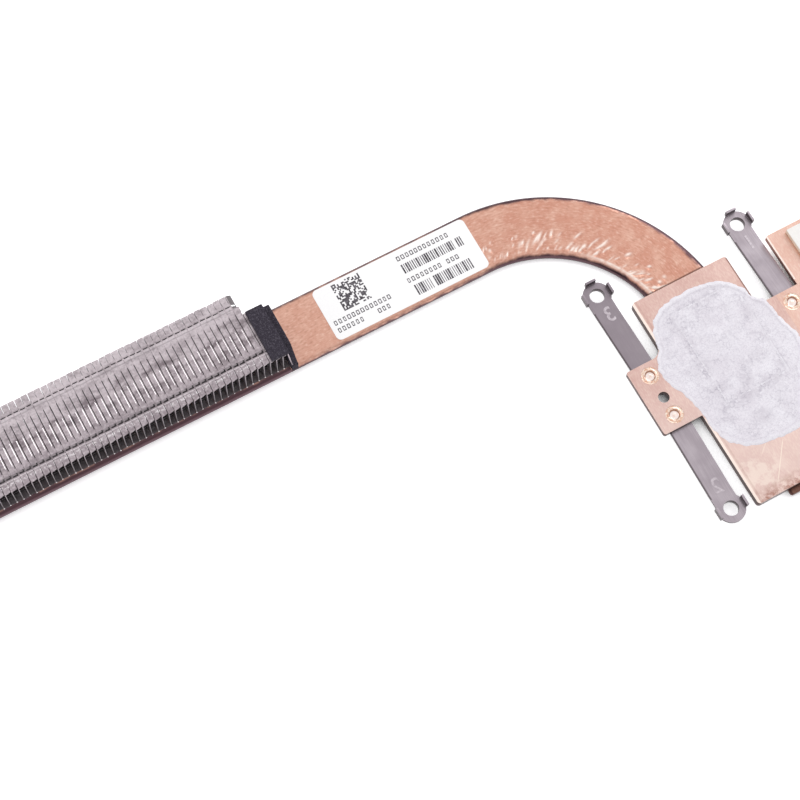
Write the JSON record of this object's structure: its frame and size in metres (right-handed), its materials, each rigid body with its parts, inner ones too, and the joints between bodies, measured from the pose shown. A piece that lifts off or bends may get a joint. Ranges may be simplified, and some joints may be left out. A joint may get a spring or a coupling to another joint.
{
  "type": "laptop heat pipe heatsink",
  "caption": "Laptop heatsink: a fin stack and a stamped copper cold plate joined by one flattened, curved heat pipe, with riveted spring arms for the screws.",
  "frame": {"origin": "centre of the four screw holes, on the face of the spring arms' ears that meets the board", "axes": "+X along the heat pipe's long run, away from the fin stack; +Y along the cold plate towards that run; +Z out of the contact face, towards the processor"},
  "size_m": [0.1531, 0.0722, 0.0088],
  "materials": {
    "pipe_copper": "satin, lightly tarnished",
    "plate_copper": "satin, lapped",
    "spring_steel": "rolled",
    "tinned_fin": "tinned sheet",
    "thermal_paste": "dried, chalky",
    "thermal_pad": "matte",
    "label_paper": "matte film",
    "black_foam": "open-cell foam"
  },
  "bodies": {
    "root": {"heat_pipe": "pipe_copper", "cold_plate": "plate_copper", "left_spring_arm": "spring_steel", "right_spring_arm": "spring_steel", "thermal_paste": "thermal_paste", "thermal_pad": "thermal_pad", "label": "label_paper", "foam_pad": "black_foam", "foam_end_strip": "black_foam", "fin_01": "tinned_fin", "fin_02": "tinned_fin", "fin_03": "tinned_fin", "fin_04": "tinned_fin", "fin_05": "tinned_fin", "fin_06": "tinned_fin", "fin_07": "tinned_fin", "fin_08": "tinned_fin", "fin_09": "tinned_fin", "fin_10": "tinned_fin", "fin_11": "tinned_fin", "fin_12": "tinned_fin", "fin_13": "tinned_fin", "fin_14": "tinned_fin", "fin_15": "tinned_fin", "fin_16": "tinned_fin", "fin_17": "tinned_fin", "fin_18": "tinned_fin", "fin_19": "tinned_fin", "fin_20": "tinned_fin", "fin_21": "tinned_fin", "fin_22": "tinned_fin", "fin_23": "tinned_fin", "fin_24": "tinned_fin", "fin_25": "tinned_fin", "fin_26": "tinned_fin", "fin_27": "tinned_fin", "fin_28": "tinned_fin", "fin_29": "tinned_fin", "fin_30": "tinned_fin", "fin_31": "tinned_fin", "fin_32": "tinned_fin", "fin_33": "tinned_fin", "fin_34": "tinned_fin", "fin_35": "tinned_fin", "fin_36": "tinned_fin", "fin_37": "tinned_fin", "fin_38": "tinned_fin", "fin_39": "tinned_fin", "fin_40": "tinned_fin", "fin_41": "tinned_fin", "fin_42": "tinned_fin", "fin_43": "tinned_fin", "fin_44": "tinned_fin", "fin_45": "tinned_fin", "fin_46": "tinned_fin", "fin_47": "tinned_fin", "fin_48": "tinned_fin", "fin_49": "tinned_fin", "fin_50": "tinned_fin"}
  },
  "joints": []
}
